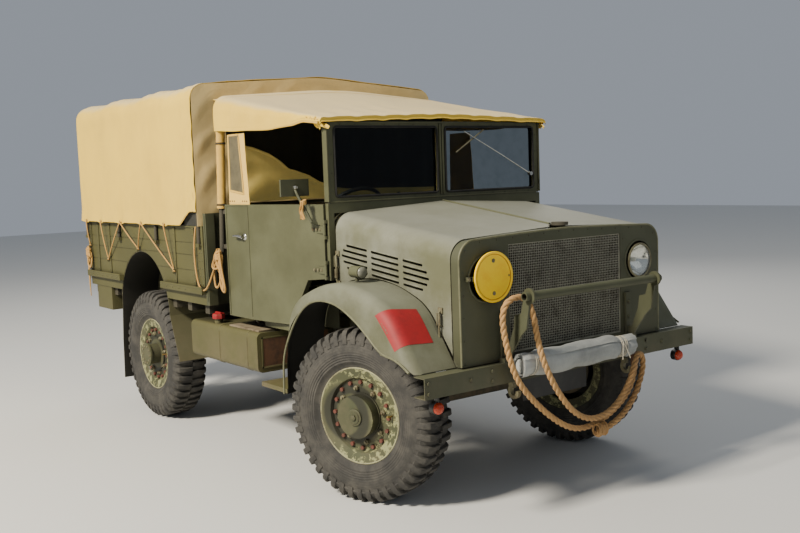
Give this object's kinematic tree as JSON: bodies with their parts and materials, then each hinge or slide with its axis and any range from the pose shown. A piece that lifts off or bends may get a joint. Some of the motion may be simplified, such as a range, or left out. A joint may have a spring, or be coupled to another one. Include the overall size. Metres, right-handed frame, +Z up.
{
  "type": "military cargo truck",
  "caption": "Four wheeled unarmed military cargo truck with canvas tilt, canvas cab roof, opening doors, folding bonnet halves, drop tailgate and steered front wheels.",
  "frame": {"origin": "on the ground, under the middle of the truck's outline", "axes": "+X forward, +Y to the truck's left, +Z up"},
  "size_m": [4.548, 2.0614, 2.3586],
  "materials": {
    "olive_paint": "matt, faded and worn",
    "chassis_paint": "matt, dusty",
    "wheel_paint": "matt, chipped",
    "tyre": "matt",
    "tilt_canvas": "plain woven canvas",
    "grey_canvas": "plain woven canvas",
    "seat_cloth": "matt",
    "glass": "clear",
    "lamp_metal": "satin",
    "yellow_paint": "satin",
    "orange_lens": "gloss",
    "black_enamel": "satin",
    "exhaust_steel": "rusted",
    "rope": "laid rope"
  },
  "bodies": {
    "chassis": {"body_sides": "olive_paint", "bonnet_strip": "olive_paint", "cab_back": "olive_paint", "cab_canopy": "tilt_canvas", "cab_tub": "olive_paint", "canopy_hoop": "chassis_paint", "canvas_roll": "grey_canvas", "cargo_floor": "olive_paint", "chassis_frame": "chassis_paint", "class_disc": "yellow_paint", "engine_block": "chassis_paint", "exhaust": "exhaust_steel", "floor_bearers": "chassis_paint", "front_axle": "chassis_paint", "front_bumper": "olive_paint", "front_wings": "olive_paint", "fuel_tank": "olive_paint", "grille_mesh": "chassis_paint", "guard_bar": "olive_paint", "head_lamp": "lamp_metal", "headboard": "olive_paint", "indicator_lamps": "orange_lens", "leaf_springs": "chassis_paint", "lockers": "olive_paint", "nose_panel": "olive_paint", "number_plate": "black_enamel", "radiator_core": "chassis_paint", "rear_axle": "chassis_paint", "rear_mudguards": "olive_paint", "scuttle": "olive_paint", "seat_boxes": "olive_paint", "seats": "seat_cloth", "side_lamps": "olive_paint", "steering_wheel": "black_enamel", "steps": "olive_paint", "tilt_canvas": "tilt_canvas", "tilt_hoops": "chassis_paint", "tow_hooks": "chassis_paint", "tow_rope": "rope", "windscreen_frame": "olive_paint", "windscreen_glass": "glass"},
    "right_knuckle": {"knuckle_right": "chassis_paint"},
    "left_knuckle": {"knuckle_left": "chassis_paint"},
    "track_rod": {"tie_rod": "chassis_paint"},
    "front_right_wheel": {"wheel_front_right": "wheel_paint", "tyre_front_right": "tyre"},
    "front_left_wheel": {"wheel_front_left": "wheel_paint", "tyre_front_left": "tyre"},
    "rear_right_wheel": {"wheel_rear_right": "wheel_paint", "tyre_rear_right": "tyre"},
    "rear_left_wheel": {"wheel_rear_left": "wheel_paint", "tyre_rear_left": "tyre"},
    "right_door": {"door_right": "olive_paint", "side_screen_right": "tilt_canvas", "mirror": "black_enamel"},
    "left_door": {"door_left": "olive_paint", "side_screen_left": "tilt_canvas"},
    "right_bonnet": {"bonnet_right": "olive_paint"},
    "left_bonnet": {"bonnet_left": "olive_paint"},
    "tail_gate": {"tailgate": "olive_paint"}
  },
  "joints": [
    {"name": "steer_left", "type": "hinge", "parent": "chassis", "child": "left_knuckle", "pos_m": [1.34, 0.678, 0.455], "axis": [0, 0, 1], "range_deg": [-50, 14]},
    {"name": "steer_right", "type": "hinge", "parent": "chassis", "child": "right_knuckle", "pos_m": [1.34, -0.678, 0.455], "axis": [0, 0, 1], "range_deg": [-50, 14]},
    {"name": "track_rod_pivot", "type": "hinge", "parent": "left_knuckle", "child": "track_rod", "pos_m": [1.19734, 0.63165, 0.377], "axis": [0, 0, 1], "range_deg": [-14, 50]},
    {"name": "front_right_roll", "type": "hinge", "parent": "right_knuckle", "child": "front_right_wheel", "pos_m": [1.37616, -0.78927, 0.455], "axis": [-0.309, 0.9511, 0], "continuous": true},
    {"name": "front_left_roll", "type": "hinge", "parent": "left_knuckle", "child": "front_left_wheel", "pos_m": [1.30384, 0.78927, 0.455], "axis": [-0.309, 0.9511, 0], "continuous": true},
    {"name": "rear_right_roll", "type": "hinge", "parent": "chassis", "child": "rear_right_wheel", "pos_m": [-1.175, -0.795, 0.455], "axis": [0, 1, 0], "continuous": true},
    {"name": "rear_left_roll", "type": "hinge", "parent": "chassis", "child": "rear_left_wheel", "pos_m": [-1.175, 0.795, 0.455], "axis": [0, 1, 0], "continuous": true},
    {"name": "right_door_hinge", "type": "hinge", "parent": "chassis", "child": "right_door", "pos_m": [1.051, -0.809, 1.256], "axis": [0, 0, 1], "range_deg": [0, 65]},
    {"name": "left_door_hinge", "type": "hinge", "parent": "chassis", "child": "left_door", "pos_m": [1.051, 0.809, 1.256], "axis": [0, 0, -1], "range_deg": [0, 65]},
    {"name": "right_bonnet_hinge", "type": "hinge", "parent": "chassis", "child": "right_bonnet", "pos_m": [1.082, 0, 1.522], "axis": [-0.9901, 0, 0.1405], "range_deg": [0, 75]},
    {"name": "left_bonnet_hinge", "type": "hinge", "parent": "chassis", "child": "left_bonnet", "pos_m": [1.082, 0, 1.522], "axis": [0.9901, 0, -0.1405], "range_deg": [0, 75]},
    {"name": "tailgate_hinge", "type": "hinge", "parent": "chassis", "child": "tail_gate", "pos_m": [-2.252, 0, 0.938], "axis": [0, -1, 0], "range_deg": [0, 90]}
  ],
  "couplings": [
    {"joint": "steer_right", "follows": "steer_left", "ratio": 1},
    {"joint": "track_rod_pivot", "follows": "steer_left", "ratio": -1}
  ]
}
